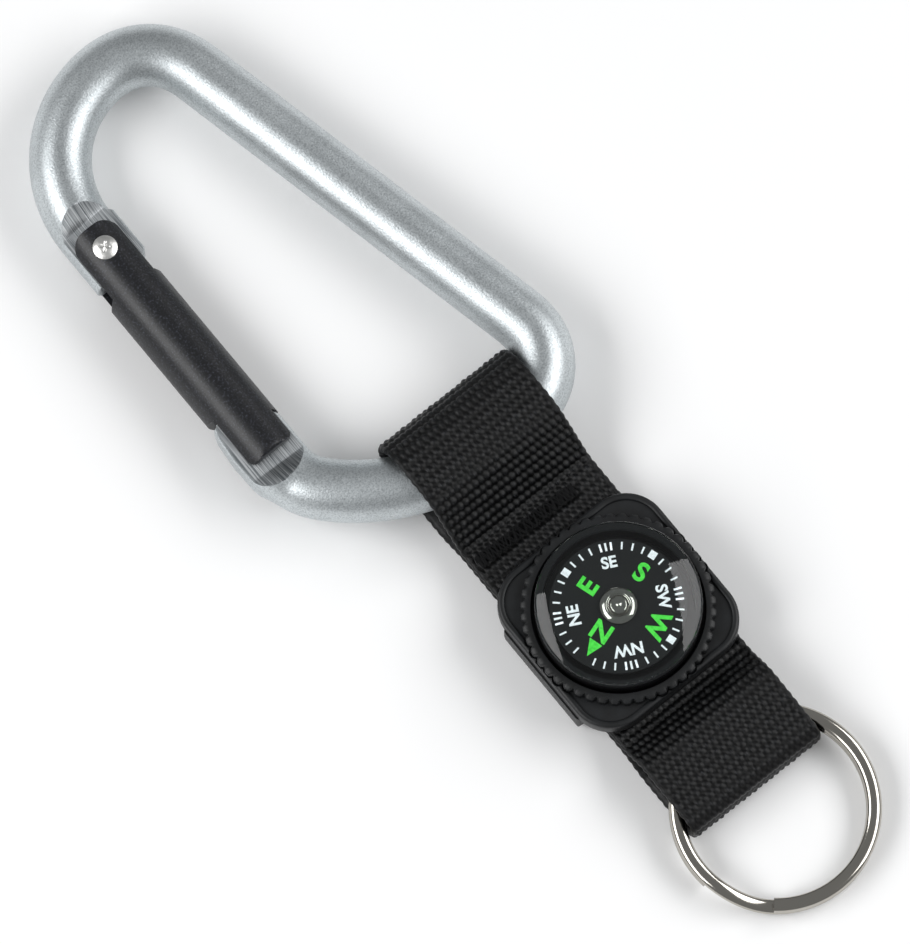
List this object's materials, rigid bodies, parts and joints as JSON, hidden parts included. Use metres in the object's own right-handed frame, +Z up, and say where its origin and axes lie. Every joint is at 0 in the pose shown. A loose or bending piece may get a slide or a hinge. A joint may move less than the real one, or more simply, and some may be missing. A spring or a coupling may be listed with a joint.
{
  "type": "carabiner keyring",
  "caption": "Snap carabiner with a sprung gate, a folded webbing strap carrying a round button compass in a rubber holder, and a split key ring.",
  "frame": {"origin": "middle of the object's box at the level of the floor that it lies on", "axes": "+Y from the split ring along the strap to the carabiner's wide end, +Z up out of the compass face, +X from the gate towards the carabiner's solid side"},
  "size_m": [0.0422, 0.138, 0.0128],
  "materials": {
    "satin_aluminium": "bead-blasted, satin",
    "black_anodised_aluminium": "black anodised, satin",
    "bright_steel": "bright",
    "nickel_plated_steel": "nickel plated, polished",
    "black_nylon_webbing": "ribbed weave",
    "black_nylon_thread": "twisted thread",
    "black_rubber": "moulded, matte",
    "black_plastic": "moulded",
    "clear_acrylic": "clear, polished",
    "ruby": "polished"
  },
  "bodies": {
    "carabiner": {"carabiner_body": "satin_aluminium", "gate_rivet": "bright_steel"},
    "gate": {"gate": "black_anodised_aluminium", "gate_spring": "bright_steel"},
    "plunger": {"spring_plunger": "bright_steel"},
    "strap": {"strap": "black_nylon_webbing", "bartack_needle_thread": "black_nylon_thread", "bartack_bobbin_thread": "black_nylon_thread"},
    "compass": {"compass_holder": "black_rubber", "capsule_cup": "black_plastic", "capsule_dome": "clear_acrylic", "pivot_pin": "bright_steel"},
    "dial": {"dial_card": "black_plastic", "dial_hub": "bright_steel", "jewel_bearing": "ruby", "dial_magnet": "bright_steel"},
    "ring": {"split_ring": "nickel_plated_steel"}
  },
  "joints": [
    {"name": "gate_hinge", "type": "hinge", "parent": "carabiner", "child": "gate", "pos_m": [-0.01659, 0.04696, 0.00422], "axis": [0, 0.0229, 0.9997], "range_deg": [0, 28], "stiffness_Nm_per_rad": 0.08, "springref_deg": -20.05, "deforming": ["gate_spring"]},
    {"name": "plunger_slide", "type": "slide", "parent": "gate", "child": "plunger", "axis": [0, -0.9997, 0.0229], "range_m": [0, 0.0011]},
    {"name": "strap_swing", "type": "hinge", "parent": "carabiner", "child": "strap", "pos_m": [0.00446, -0.0004, 0.0053], "axis": [1, 0, 0], "range_deg": [-110, 110], "deforming": ["strap"]},
    {"name": "holder_slide", "type": "slide", "parent": "strap", "child": "compass", "axis": [0, 1, 0], "range_m": [-0.001, 0.002]},
    {"name": "dial_spin", "type": "hinge", "parent": "compass", "child": "dial", "pos_m": [0.00336, -0.0263, 0.0088], "axis": [0, 0, 1], "continuous": true},
    {"name": "ring_swing", "type": "hinge", "parent": "strap", "child": "ring", "pos_m": [0.00336, -0.04231, 0.00285], "axis": [1, 0, 0], "range_deg": [-60, 60], "deforming": ["strap"]}
  ],
  "couplings": [
    {"joint": "plunger_slide", "follows": "gate_hinge", "m_per_rad": 0.002251}
  ]
}
